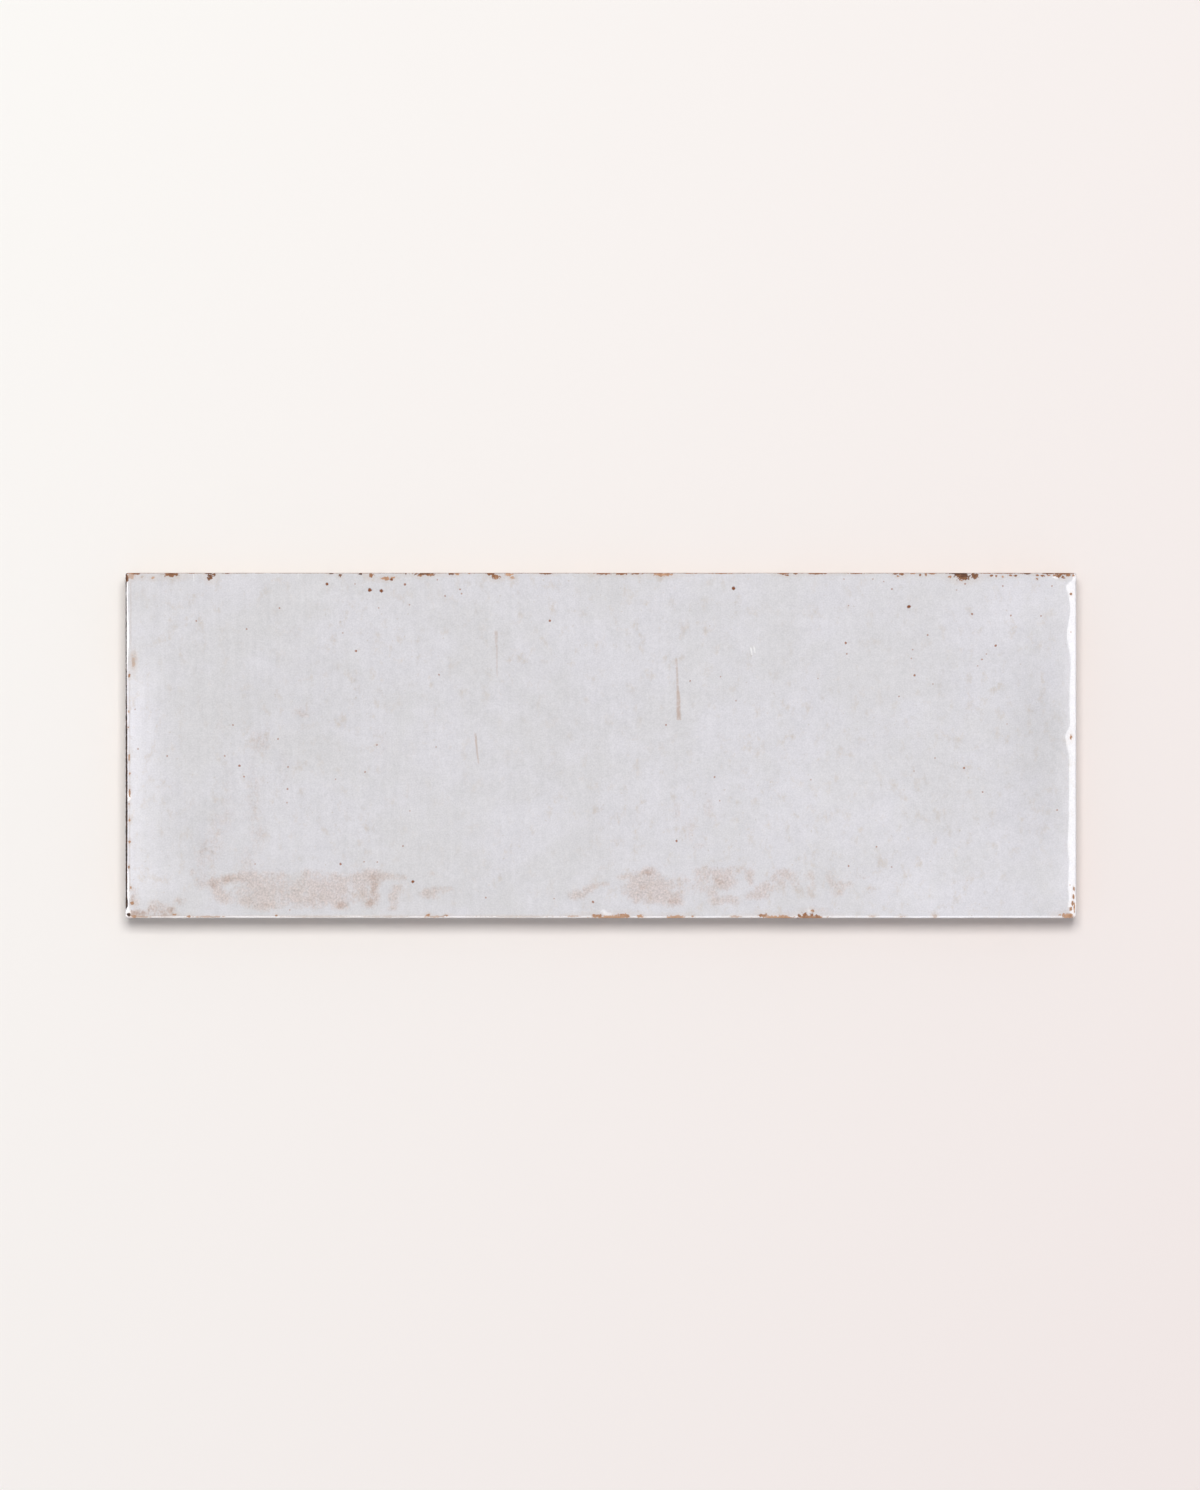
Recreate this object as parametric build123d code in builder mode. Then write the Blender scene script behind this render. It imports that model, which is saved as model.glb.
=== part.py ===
"""A glazed porcelain brick tile: one pressed and fired piece, lying on its keyed back, glazed face up.

Millimetres. The origin is the middle of the back, +X runs along the tile and +Z points out of the glaze.
"""

import os
from math import cos, pi

from build123d import *

# Overall sizes
length = 200.0
width = 72.6
thickness = 9.0

# Slow swells of the glazed face: one chequered, one slanting, and the share of the depth each takes
swell_depth = 0.30
chequer_along = 64.0
chequer_across = 52.0
chequer_share = 0.6
slant_pitch = 43.0
slant_lean = 1.6
chequer_phase_along = 0.6
chequer_phase_across = -0.9
slant_phase = 1.9

# Pillowed fall of the face towards its edges, deeper and shallower in turn along each of them
end_fall = 0.45
side_fall = 0.25
pillow_power = 14
end_ripple_pitch = 19.0
side_ripple_pitch = 27.0
ripple_share = 0.35
ripple_lean = 0.07

# Points that the face's surface is fitted through
face_columns = 61
face_rows = 33

# Edges: wide rolls on the two short ends, tighter ones down the long sides and upright corners
end_roll = 1.6
side_roll = 0.7
back_chamfer = 0.5

# Back: shallow pockets between keying ribs, inside a plain border
key_border = 4.0
key_pitch = 24.0
key_rib = 3.0
key_depth = 0.7
key_corner = 1.2
key_draft = 25.0


def wave(distance, pitch, phase=0.0):
    """A cosine wave of the given pitch, from -1 to 1."""
    return cos(2 * pi * distance / pitch + phase)


def face_height(x, y):
    """Height of the glaze above the back at a point of the plan."""
    chequer = wave(x, chequer_along, chequer_phase_along) * wave(y, chequer_across, chequer_phase_across)
    slant = wave(x + slant_lean * y, slant_pitch, slant_phase)
    hollow = swell_depth * (1 - chequer_share * chequer - (1 - chequer_share) * slant) / 2
    end_ripple = 1 + ripple_share * wave(y + ripple_lean * x, end_ripple_pitch)
    side_ripple = 1 + ripple_share * wave(x + ripple_lean * y, side_ripple_pitch)
    end_drop = end_fall * end_ripple * abs(2 * x / length) ** pillow_power
    side_drop = side_fall * side_ripple * abs(2 * y / width) ** pillow_power
    return thickness - hollow - end_drop - side_drop


def spread(extent, count):
    """Evenly spaced places across an extent, reaching the size of an end roll past both of its ends."""
    reach = extent / 2 + end_roll
    return [-reach + 2 * reach * step / (count - 1) for step in range(count)]


def key_layout(extent):
    """Number of pockets that fit across an extent, the distance between them and the size of one."""
    span = extent - 2 * key_border + key_rib
    count = max(1, round(span / key_pitch))
    return count, span / count, span / count - key_rib


# The glaze's surface reaches past the tile on all sides, so that it trims the whole blank
glaze = Face.make_surface_from_array_of_points(
    [[(x, y, face_height(x, y)) for y in spread(width, face_rows)] for x in spread(length, face_columns)]
)

keys_along, pitch_along, pocket_length = key_layout(length)
keys_across, pitch_across, pocket_width = key_layout(width)

with BuildPart() as tile:
    # Pressed blank, trimmed to the wavy face
    with BuildSketch():
        Rectangle(length, width)
    extrude(amount=thickness + swell_depth)
    split(bisect_by=glaze, keep=Keep.BOTTOM)

    # Rolled edges of the face: the short ends first, then each long side with its upright corners
    face_edges = tile.faces().sort_by(Axis.Z)[-1].edges().sort_by(Axis.X)
    fillet([face_edges[0], face_edges[-1]], radius=end_roll)
    long_sides = tile.edges().group_by(Axis.Y)
    side_edges = [edge for edge in long_sides[0] + long_sides[-1] if edge.center().Z > back_chamfer]
    fillet(side_edges, radius=side_roll)

    # Keyed back
    back = tile.faces().sort_by(Axis.Z)[0]
    chamfer(back.edges(), length=back_chamfer)
    with BuildSketch(Plane.XY):
        with GridLocations(pitch_along, pitch_across, keys_along, keys_across):
            RectangleRounded(pocket_length, pocket_width, key_corner)
    extrude(amount=key_depth, taper=key_draft, mode=Mode.SUBTRACT)

tile.part.label = "brick_tile"
os.makedirs("parts", exist_ok=True)
export_step(tile.part, "parts/brick_tile.step")
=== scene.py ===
"""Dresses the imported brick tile: one fired piece with a waved gloss glaze, worn arrises and a keyed back.

Sizes are millimetres in the part's own frame until they reach Blender, which works in metres. Marks on the
glaze are listed where the photograph shows them, in its pixels.
"""

from math import cos, pi, radians, sin, tan

import bpy
import numpy as np
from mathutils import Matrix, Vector
from mathutils.geometry import tessellate_polygon


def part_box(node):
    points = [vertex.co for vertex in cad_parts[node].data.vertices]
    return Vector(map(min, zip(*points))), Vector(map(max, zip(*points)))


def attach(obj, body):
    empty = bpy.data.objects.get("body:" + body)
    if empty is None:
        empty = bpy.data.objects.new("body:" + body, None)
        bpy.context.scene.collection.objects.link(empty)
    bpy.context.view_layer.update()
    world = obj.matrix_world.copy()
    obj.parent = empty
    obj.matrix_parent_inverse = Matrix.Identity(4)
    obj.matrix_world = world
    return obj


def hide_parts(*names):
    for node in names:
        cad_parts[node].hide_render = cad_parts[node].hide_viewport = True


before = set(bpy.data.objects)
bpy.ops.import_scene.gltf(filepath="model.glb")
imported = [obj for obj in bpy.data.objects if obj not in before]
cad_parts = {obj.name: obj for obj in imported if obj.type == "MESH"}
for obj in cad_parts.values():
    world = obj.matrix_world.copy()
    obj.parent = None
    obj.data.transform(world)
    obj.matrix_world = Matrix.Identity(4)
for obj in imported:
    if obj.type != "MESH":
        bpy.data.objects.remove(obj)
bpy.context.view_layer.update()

# Metres in a millimetre
MM = 0.001

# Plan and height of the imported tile
low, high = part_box("brick_tile")
LENGTH, WIDTH, THICKNESS = ((top - bottom) / MM for bottom, top in zip(low, high))

# Swells and pillowed edges of the face, as in the part
SWELL_DEPTH = 0.30
CHEQUER_ALONG, CHEQUER_ACROSS = 64.0, 52.0
CHEQUER_PHASE_ALONG, CHEQUER_PHASE_ACROSS = 0.6, -0.9
CHEQUER_SHARE = 0.6
SLANT_PITCH, SLANT_LEAN, SLANT_PHASE = 43.0, 1.6, 1.9
END_FALL, SIDE_FALL, PILLOW_POWER = 0.45, 0.25, 14
END_RIPPLE_PITCH, SIDE_RIPPLE_PITCH = 19.0, 27.0
RIPPLE_SHARE, RIPPLE_LEAN = 0.35, 0.07

# Keyed back, as in the part
BACK_CHAMFER = 0.5
KEY_BORDER, KEY_PITCH, KEY_RIB = 4.0, 24.0, 3.0
KEY_DEPTH, KEY_CORNER, KEY_DRAFT = 0.7, 1.2, 25.0
KEY_CORNER_STEPS = 5

# Small waves that the glaze froze with, by their pitch, and their height all together
GLAZE_WAVES = np.linspace(7.0, 21.0, 14)
GLAZE_WAVE_HEIGHT = 0.028
GLAZE_SEED = 41

# Mesh: spacing on the face, steps round a roll and steps down a side
FACE_STEP = 0.5
ROLL_STEPS = 10
SIDE_STEPS = 10
SHARP_ANGLE = radians(35)

# Sides: the depth of their unevenness, the steps it sets in over, the glaze's thickness and how soon it ends
SIDE_ROUGHNESS = 0.07
SIDE_EASE_STEPS = 3
GLAZE_THICK = 0.10
GLAZE_RIM_EASE = 0.5

# How far the glaze runs down the sides: at least, and what broad swags and small drips add
GLAZE_RUN_LEAST = 2.0
GLAZE_RUN_SWAG = 2.6
GLAZE_RUN_DRIP = 1.1

# Seeded unevenness, each by its pitch and seed: of the chips, the sides, the glaze's runs down them, and the
# toasted clay under the runs
NOISE_CELLS = 64
CHIP_BREAKS = (0.9, 7)
SIDE_BUMPS = (3.1, 11)
SIDE_PITS = (1.3, 12)
GLAZE_SWAGS = (9.0, 21)
GLAZE_DRIPS = (2.7, 22)
TOAST_PATCHES = (6.0, 23)
TOAST_FADES = (3.0, 24)

# Rolled edges: the angle a roll turns down to, the small round of the arris under it, and a corner's ease
ROLL_TURN = radians(23)
ARRIS_ROUND = 0.12
ARRIS_STEPS = 3
ARRIS_OUT = ARRIS_ROUND * (1 - sin(ROLL_TURN))
CORNER_EASE = 0.12

# The photograph: its size, and the tile's outline in it
PHOTO_WIDE, PHOTO_HIGH = 1200, 1490
TILE_LEFT, TILE_RIGHT, TILE_TOP, TILE_BOTTOM = 125.3, 1076.4, 572.9, 918.15
PX_PER_MM = (TILE_RIGHT - TILE_LEFT) / LENGTH
MIDDLE_PX = (TILE_LEFT + TILE_RIGHT) / 2
MIDDLE_PY = (TILE_TOP + TILE_BOTTOM) / 2

# Width of the rolled edges in pixels, at places down the ends and along the sides
RIGHT_ROLL = [
    (573, 2.6), (577, 4), (584, 11.8), (594, 7.8), (607, 6.2), (634, 10.6), (661, 5.8), (700, 7.2),
    (725, 7.6), (736, 13.4), (760, 7.6), (787, 7), (820, 8.4), (845, 9.8), (862, 7.4), (890, 8.6), (918, 6.4),
]
LEFT_ROLL = [
    (573, 3.2), (600, 2.8), (643, 4.2), (656, 3), (672, 2), (862, 2), (876, 3.4), (892, 4.2),
    (908, 3.8), (918, 2.8),
]
TOP_ROLL = [(126, 1.8), (300, 2.2), (470, 1.6), (690, 2.0), (880, 1.5), (1076, 2.0)]
BOTTOM_ROLL = [
    (126, 2.0), (300, 2.4), (430, 1.9), (560, 2.3), (690, 2.0), (820, 2.6), (960, 2.1), (1076, 2.3),
]

# Worn patches along the arrises: middle, half width and half height in pixels, and the clay's tone, 0 to 1
TOP_WEAR = [
    (133, 573.3, 8, 1.5, 0.55), (127, 577, 1.8, 5, 0.7), (130, 576, 4.6, 3.2, 0.26),
    (142, 577, 2.6, 1.7, 0.18), (153, 578, 3, 1.8, 0.35), (171, 574.4, 9.5, 2.9, 0.64),
    (191.5, 573, 5, 0.8, 0.6), (209.5, 573.3, 5, 1.2, 0.85), (210.5, 577, 3.6, 3.4, 0.7),
    (213, 575, 3.2, 2.2, 0.66), (226, 573.2, 4.5, 0.9, 0.75), (331.5, 573.2, 2.8, 1.1, 0.85),
    (340.4, 575.2, 1.9, 1.9, 0.72), (360.6, 573.4, 1.9, 1.3, 0.9), (371.3, 575.5, 3.2, 2.4, 0.55),
    (386, 578.4, 5.5, 1.9, 0.42), (393, 577.4, 3.5, 1.3, 0.36), (405.7, 573.5, 1.2, 0.9, 0.8),
    (423, 573.6, 13.5, 1.8, 0.74), (420, 575.8, 3, 1.7, 0.5), (430, 574.8, 4.4, 1.6, 0.55),
    (450.6, 573.6, 4.6, 1.7, 0.74), (457, 574, 3, 1.2, 0.4), (469, 573.2, 2.5, 0.9, 0.55),
    (490, 574.3, 4.2, 2, 0.64), (495.5, 576.6, 5.4, 2.5, 0.54), (509, 574.4, 4.5, 2, 0.36),
    (512, 577.5, 3, 1.6, 0.3), (546, 573.3, 7.5, 1.3, 0.72), (603, 573.5, 8.5, 1.4, 0.6),
    (621, 573.6, 5.5, 1.6, 0.6), (636.5, 573.6, 5.5, 1.6, 0.64), (663, 574.4, 10, 2.2, 0.42),
    (660, 573.2, 7, 1.1, 0.6), (690, 573.1, 10, 0.7, 0.5), (722, 573.1, 14, 0.8, 0.5),
    (783.5, 573.4, 8, 1.3, 0.62), (787, 575, 2.4, 1.2, 0.6), (795.5, 573.6, 2.6, 1.4, 0.66),
    (817.5, 573.4, 12, 1.3, 0.62), (856, 573.2, 10, 1, 0.66), (895.3, 573.5, 3.2, 1.2, 0.66),
    (901.7, 574.3, 3.2, 1.9, 0.62), (898, 576.2, 1.6, 1.2, 0.5), (913.5, 573.4, 4.5, 0.9, 0.45),
    (920.2, 575, 1.6, 1.4, 0.6), (926, 574.7, 1.6, 1.2, 0.5), (933, 573.6, 3.2, 1.1, 0.5),
    (949.5, 576.8, 2.3, 1.6, 0.5), (958, 573.2, 12.5, 1.1, 0.9), (960.5, 573.4, 9.5, 1.7, 1.0),
    (963, 575.7, 9.5, 3.4, 0.8), (963.5, 578, 7, 3, 0.7), (974.4, 575.8, 4.8, 3.2, 0.7),
    (961, 580, 1.9, 1.5, 0.55), (1000, 573.1, 31, 0.7, 0.62), (991.5, 575.5, 2.6, 1.3, 0.62),
    (996.2, 576, 1.5, 1.2, 0.58), (1003, 576.5, 1.4, 1.3, 0.42), (1011.2, 575.5, 2.3, 1.2, 0.6),
    (1015.8, 575.7, 1.7, 1.5, 0.62), (1026.7, 573.3, 4, 1.1, 0.8), (1047, 573.3, 8, 1.2, 0.72),
    (1064.5, 573.4, 11, 1.4, 0.68), (1037.2, 575.3, 1.9, 1.2, 0.55), (1042.6, 575.6, 2.7, 1.2, 0.58),
    (1048.4, 575.2, 3.2, 1, 0.45), (1055.2, 575.2, 2.8, 1.3, 0.5), (1059.8, 575.9, 3.2, 2.1, 0.6),
    (1062.8, 577.3, 2.5, 1.9, 0.64), (1068, 575.2, 3.8, 1.7, 0.52), (1073.2, 575.4, 2, 1.3, 0.48),
    (1037, 578.8, 1.2, 1.1, 0.5),
]
BOTTOM_WEAR = [
    (134, 916.5, 3, 1.6, 0.42), (143, 916.9, 9, 1.0, 0.26), (175, 914.8, 3, 1.4, 0.42),
    (188.8, 916.5, 2.8, 1.4, 0.46), (207, 916.8, 20, 0.9, 0.25), (276, 915.5, 1.8, 1.3, 0.5),
    (427.8, 915.4, 2.6, 1.5, 0.5), (446.7, 915.6, 3, 1.2, 0.46), (436, 916.7, 13, 1.1, 0.24),
    (318, 916.6, 42, 0.9, 0.1), (384, 916.6, 26, 0.9, 0.1), (518, 916.6, 44, 0.9, 0.1),
    (573, 916.2, 7, 1.3, 0.24), (610, 917.4, 23, 2.7, 0.38), (598, 916, 9, 2.2, 0.46),
    (624, 915.8, 8, 2.6, 0.46), (640, 916.5, 4, 2, 0.36), (675.5, 917.2, 11.5, 1.9, 0.33),
    (692.6, 916.3, 1.5, 1.3, 0.46), (735, 916.6, 7, 1.2, 0.24), (778, 917.3, 20, 2.3, 0.38),
    (763, 915.6, 5, 2.4, 0.48), (810, 917, 16, 2.1, 0.5), (799.5, 916, 2.4, 2.2, 0.62),
    (804.3, 915.2, 4, 3.2, 0.58), (811.5, 915.6, 2.6, 2.3, 0.58), (816.5, 916.2, 2.3, 2, 0.56),
    (812.5, 910.8, 2, 2, 0.42), (873, 916.4, 3.2, 1.2, 0.2), (902, 916.6, 3.2, 1.1, 0.2),
    (935, 915.8, 2.2, 2.2, 0.2), (1068, 916, 8, 2.8, 0.42),
]
END_WEAR = [
    (129.2, 675.7, 1.3, 2.2, 0.52), (133.3, 662, 2.2, 6, 0.22), (128.6, 711.5, 0.8, 1.6, 0.42),
    (128.2, 727.4, 0.8, 1.5, 0.46), (129, 757, 0.8, 3.8, 0.42), (129.6, 774, 1.0, 1.6, 0.46),
    (129.4, 793, 1.3, 4.2, 0.5), (128.8, 804, 0.7, 2.2, 0.4), (129.4, 820, 1.0, 2.3, 0.45),
    (129.6, 842.4, 1.3, 2.1, 0.48), (129, 867, 0.9, 1.5, 0.5), (130.8, 887.7, 1.1, 2.1, 0.42),
    (132.2, 903, 2, 1.8, 0.5), (128.7, 914.6, 2.4, 1.5, 0.92), (1074, 889, 1, 2.6, 0.44),
    (1073.5, 897, 1.2, 3, 0.45), (1073, 903.5, 1.4, 3, 0.48), (1071, 909, 1.6, 2.2, 0.42),
    (1074.5, 908, 1, 6, 0.4), (1071.3, 594, 1.3, 1.6, 0.45), (1071.2, 737, 1.3, 2.8, 0.42),
]

# The strength of a mark by its tone, and its least strength
MARK_STRENGTH = 3.2
MARK_FAINTEST = 0.5

# A thin bare line along the top arris, and a thin near-black line down the left one. The left one starts a
# little in from the arris, and its far side goes by places in pixels
TOP_LINE_WIDTH = 0.08
TOP_LINE_TONE = 0.62
LEFT_LINE_TONE = 0.97
LEFT_LINE_START = 0.25
LEFT_LINE = [
    (573, 1.25), (650, 1.3), (690, 1.5), (740, 1.9), (800, 2.2), (890, 1.9), (906, 2.4),
    (911, 0.2), (918, 0.2),
]

# Unglazed clay: how slowly it sets in under the glaze, the body's own tone, and how much toasting adds to it,
# how patchy that is and how soon it fades. The back, up to its level, counts as this far inside the clay
GLAZE_FEATHER = 0.3
BODY_TONE = 0.06
TOAST_LEAST, TOAST_PATCHED = 0.02, 0.34
TOAST_STEEPNESS, TOAST_START = 2.2, 0.8
TOAST_FADE = 0.4
BACK_LEVEL = BACK_CHAMFER + 0.01
BACK_BARE = 4.0

# Pale brown stains in the glaze: middle, half width and half height in pixels, and strength
STAINS = [
    # Left patch: its faint tail, hook and arc, its three bodies with their darker places, and what trails off
    (192, 872, 4, 4, 0.4), (203, 884, 10, 5, 0.24), (213.4, 882, 4, 5, 0.9), (217, 889.5, 5, 6, 0.9),
    (223.7, 897.5, 7, 6, 0.8), (222, 881, 6, 4, 0.7), (229, 879, 8, 4, 0.85), (239, 877.4, 7, 4, 0.9),
    (247, 875, 7, 4, 0.6), (254, 881, 8, 6, 0.65), (245, 901, 10, 5, 0.6), (261, 893, 16, 15, 0.62),
    (266, 904.5, 12, 5, 0.7), (277, 889, 12, 12, 0.38), (268, 876, 8, 4, 0.35), (281.5, 876, 7, 4, 0.5),
    (295, 897, 10, 9, 0.62), (305.5, 873, 4, 4, 0.6), (302, 886, 12, 10, 0.5), (311, 901, 11, 7, 0.6),
    (317, 884, 13, 11, 0.56), (326, 893, 9, 11, 0.6), (335, 876, 6, 4, 0.55), (331, 898, 8, 7, 0.7),
    (341.5, 905.5, 7, 5, 0.9), (340, 889, 7, 9, 0.7), (346, 879, 6, 5, 0.4), (357, 877, 7, 5, 0.65),
    (356, 885, 6, 6, 0.5), (367.5, 876, 8, 6, 0.85), (376, 876, 8, 5, 0.85), (374.5, 887, 4, 6, 0.85),
    (376, 894.5, 4, 5, 0.85), (370, 903, 7, 5, 0.85), (363, 892, 8, 9, 0.68), (388, 876, 8, 4, 0.62),
    (400, 878, 6, 3, 0.45), (397.7, 888.6, 5, 4, 0.65), (393.4, 898, 5, 7, 0.65), (392.5, 908, 4, 3, 0.7),
    (427, 893, 8, 4, 0.55), (436.4, 889.5, 9, 4, 0.42), (431, 895.5, 7, 4, 0.52), (449, 889.5, 6, 3, 0.35),
    (431, 874.5, 6, 4, 0.28), (240, 891, 8, 7, 0.18), (343, 889, 8, 12, 0.3), (353, 899, 8, 6, 0.12),
    (372, 883, 8, 9, 0.3), (206, 880, 11, 6, 0.14), (290, 888, 82, 16, 0.12), (405, 888, 9, 12, 0.14),
    # Lower left corner
    (134.5, 894, 4, 8, 0.45), (152, 907.5, 4.5, 4.5, 0.6), (154.5, 902.5, 4.5, 3, 0.45),
    (163, 905.5, 7, 4, 0.4), (171.3, 909.4, 4, 3.5, 0.65), (134, 914, 5, 4, 0.55), (142, 913, 6, 3, 0.45),
    (158, 912.5, 14, 4, 0.4), (180, 901, 7, 4, 0.45), (136, 904, 6, 6, 0.3),
    # Right patch: a tail from the left, a large body, a looser one and thin loops
    (577, 895, 8, 5, 0.82), (587, 890, 6, 4, 0.66), (594, 886, 5, 2.5, 0.66), (603, 884, 6, 2.5, 0.62),
    (621, 876.5, 6, 3.5, 0.38), (602, 868.5, 5, 3, 0.24), (629.5, 876, 6, 4, 0.42),
    (648.4, 872, 9, 5, 0.66), (640, 877.5, 7, 5, 0.62), (651, 880, 9, 5, 0.6), (633.6, 882, 6, 6, 0.55),
    (625.5, 889, 6, 6, 0.42), (642.5, 887.5, 8, 6, 0.78), (636, 894, 8, 6, 0.72), (652, 891, 9, 7, 0.75),
    (661, 885, 8, 6, 0.66), (671, 884, 5, 4, 0.38), (662, 895.5, 9, 7, 0.75), (673.5, 901.5, 8, 5, 0.82),
    (679, 896.5, 5, 5, 0.55), (652.6, 900, 9, 4, 0.58), (638, 899, 6, 4, 0.45), (682, 881, 5, 6, 0.34),
    (695, 886, 8, 7, 0.3), (698, 871, 5, 4, 0.48), (705.5, 870, 5, 4, 0.48), (705, 878, 7, 5, 0.38),
    (715.7, 873, 6, 5, 0.68), (720.5, 880, 8, 6, 0.82), (722.5, 886, 7, 4, 0.75), (730.5, 881, 6, 6, 0.68),
    (728, 870.5, 6, 4, 0.52), (739, 870, 7, 4, 0.52), (749.5, 874, 4, 5, 0.75), (750.5, 880, 3.5, 4, 0.62),
    (708, 889, 6, 4, 0.36), (713, 893.5, 6, 4, 0.45), (716, 901.5, 7, 4, 0.75), (726.5, 899, 7, 4, 0.55),
    (735, 901, 6, 4, 0.5), (749.5, 896, 5, 4, 0.65), (757.8, 894.5, 7, 5, 0.75), (765, 896, 4, 3.5, 0.55),
    (762.5, 887, 5, 4, 0.55), (770.5, 888.5, 5, 4, 0.5), (775, 876.5, 4, 5, 0.6), (783, 872.3, 6, 3.5, 0.7),
    (787.5, 876, 3.5, 4, 0.6), (781, 882.5, 5, 5, 0.55), (794.6, 876, 4, 4, 0.45), (795.7, 885, 4, 5, 0.25),
    (803, 893, 5, 4, 0.2), (810.5, 874.5, 5, 4, 0.5), (811.5, 885, 5, 6, 0.2), (811.5, 896, 4, 4, 0.4),
    (829.5, 875.5, 4, 5, 0.45), (833.6, 885, 5, 6, 0.4), (838, 893, 5, 4, 0.45), (842, 885.5, 5, 4, 0.5),
    (850, 884.5, 5, 3, 0.45), (863, 877, 7, 2.5, 0.35), (871.5, 888.5, 7, 2.2, 0.45),
    (820, 910, 13, 3, 0.35), (665, 887, 34, 16, 0.14), (785, 884, 55, 13, 0.12),
    # Faint marks higher up, and brush traces
    (690, 830, 7, 15, 0.3), (700, 846, 8, 4, 0.26), (708, 808, 6, 14, 0.28), (677, 812, 5, 12, 0.26),
    (203, 858, 9, 24, 0.27), (216, 836, 9, 30, 0.24), (246, 862, 10, 14, 0.27), (253, 792, 9, 40, 0.24),
    (260, 742, 11, 11, 0.36), (301, 713, 11, 6, 0.34), (229, 800, 8, 36, 0.2), (133.5, 660, 3.5, 9, 0.6),
    (262, 836, 10, 22, 0.2), (222, 725, 8, 22, 0.16), (285, 770, 8, 30, 0.16), (380, 745, 12, 28, 0.15),
]

# Browner grime, given as the stains are: the lower left corner, and the stains' darkest places
GRIME = [
    (134, 915, 6, 4, 0.75), (142, 913, 6, 3, 0.52), (152, 908, 4, 3.5, 0.45), (171.3, 909.6, 3, 2.5, 0.55),
    (163, 912, 9, 4, 0.25), (180, 901, 4, 3, 0.3), (132.2, 901, 3, 6, 0.4), (160, 916, 22, 2, 0.45),
    (341.5, 905.5, 5, 4, 0.58), (213.5, 884, 4, 6, 0.4), (226, 879, 7, 3, 0.35), (238, 877.5, 7, 3, 0.3),
    (374.2, 890.5, 4, 9, 0.45), (370, 903, 5, 4, 0.48), (375, 877, 8, 4, 0.3), (267, 905, 10, 3, 0.25),
    (648, 873, 7, 4, 0.32), (673, 901, 7, 4, 0.35), (642, 888, 7, 5, 0.25), (720.5, 880, 7, 5, 0.35),
    (758, 894.5, 5, 4, 0.2),
]

# Broad lighter and darker places of the glaze: middle, half width and half height in pixels, and gain
# Partly the glaze's own tone, partly painted shade and sheen on its swells; by the right roll, a painted dark
# band and a painted highlight
TONES_AND_PAINTED_SHADING = [
    (1038, 745, 32, 110, -0.085), (1018, 603, 34, 26, 0.04), (922, 888, 40, 26, 0.06),
    (832, 808, 60, 48, 0.03), (312, 708, 72, 50, -0.022), (570, 712, 70, 34, -0.022),
    (950, 685, 22, 28, -0.03), (198, 832, 26, 34, -0.028), (308, 590, 26, 16, 0.03),
    (165, 880, 26, 24, 0.04), (1050, 880, 30, 26, 0.02), (460, 655, 50, 30, -0.012),
    (1072, 745, 11, 220, 0.06), (203, 846, 7, 34, -0.035), (190, 856, 4, 16, -0.03),
    (228, 800, 5, 50, -0.022), (252, 795, 6, 40, -0.028), (244, 862, 6, 13, -0.035),
    (262, 742, 8, 9, -0.04), (301, 713, 9, 5, -0.035),
]

# A painted sheen: the lighter band by the left end, where the pillowed glaze would catch the light: its gain
# at places in pixels, and its width
LEFT_PAINTED_SHEEN = [(573, 0.03), (640, 0.06), (690, 0.17), (790, 0.185), (870, 0.16), (918, 0.02)]
LEFT_PAINTED_SHEEN_WIDTH = 6.2

# Rust specks by their radius in pixels, and the tone of each size
SPECKS = {
    2.1: [(733.5, 588.3), (909.0, 606.6), (381.4, 590.7), (369.8, 590.0)],
    1.8: [(412.7, 881.6), (327.0, 584.0), (386.0, 579.0), (391.5, 579.3)],
    1.4: [(549.7, 620.8), (845.8, 643.0), (356.0, 651.0), (239.5, 765.8), (340.5, 864.0), (593.0, 902.0),
          (914.5, 675.5), (995.6, 645.5), (1071.0, 594.0), (1070.8, 737.0), (964.0, 768.0), (405.0, 584.4),
          (972.0, 614.0), (676.5, 841.0)],
    1.1: [(279.5, 608.0), (196.4, 621.0), (246.7, 629.0), (233.0, 725.0), (278.0, 739.0), (377.0, 745.0),
          (244.0, 776.7), (138.0, 749.0), (167.0, 756.0), (224.7, 756.0), (365.0, 772.0), (288.0, 767.0),
          (287.5, 789.0), (402.8, 846.0), (445.0, 596.0), (460.0, 589.4), (461.7, 593.8), (439.0, 674.7),
          (666.0, 725.0), (690.0, 681.0), (714.6, 777.0), (982.6, 792.0), (898.9, 696.5), (1010.8, 615.5),
          (1041.0, 615.8), (1052.0, 586.0), (1002.7, 586.0), (927.7, 635.0), (982.0, 659.4), (1057.0, 810.0),
          (876.6, 846.7), (848.6, 866.0), (485.8, 897.6), (846.7, 654.0), (892.0, 589.0), (965.0, 584.0)],
    0.9: [(355.0, 584.0), (378.7, 608.0), (342.8, 633.0), (335.5, 779.4), (287.0, 802.7), (255.0, 864.0),
          (364.0, 861.7), (377.4, 862.0), (289.8, 910.0), (409.5, 604.7), (437.4, 579.8), (410.0, 811.0),
          (554.0, 898.6), (436.0, 747.0), (848.6, 605.6), (720.6, 676.7), (844.0, 579.0), (873.0, 579.0),
          (883.8, 581.4), (818.0, 678.6), (736.0, 700.8), (719.7, 800.8), (810.8, 779.8), (933.0, 684.0),
          (912.7, 649.5), (911.4, 658.4), (977.6, 665.9), (986.4, 654.0), (1007.0, 724.0), (956.7, 590.0),
          (935.0, 758.0), (914.0, 771.0), (891.7, 867.0), (1071.0, 632.0), (1070.0, 885.0), (153.0, 578.0),
          (135.0, 709.4)],
}
SPECK_TONES = {2.1: 0.42, 1.8: 0.36, 1.4: 0.27, 1.1: 0.21, 0.9: 0.17}

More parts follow.
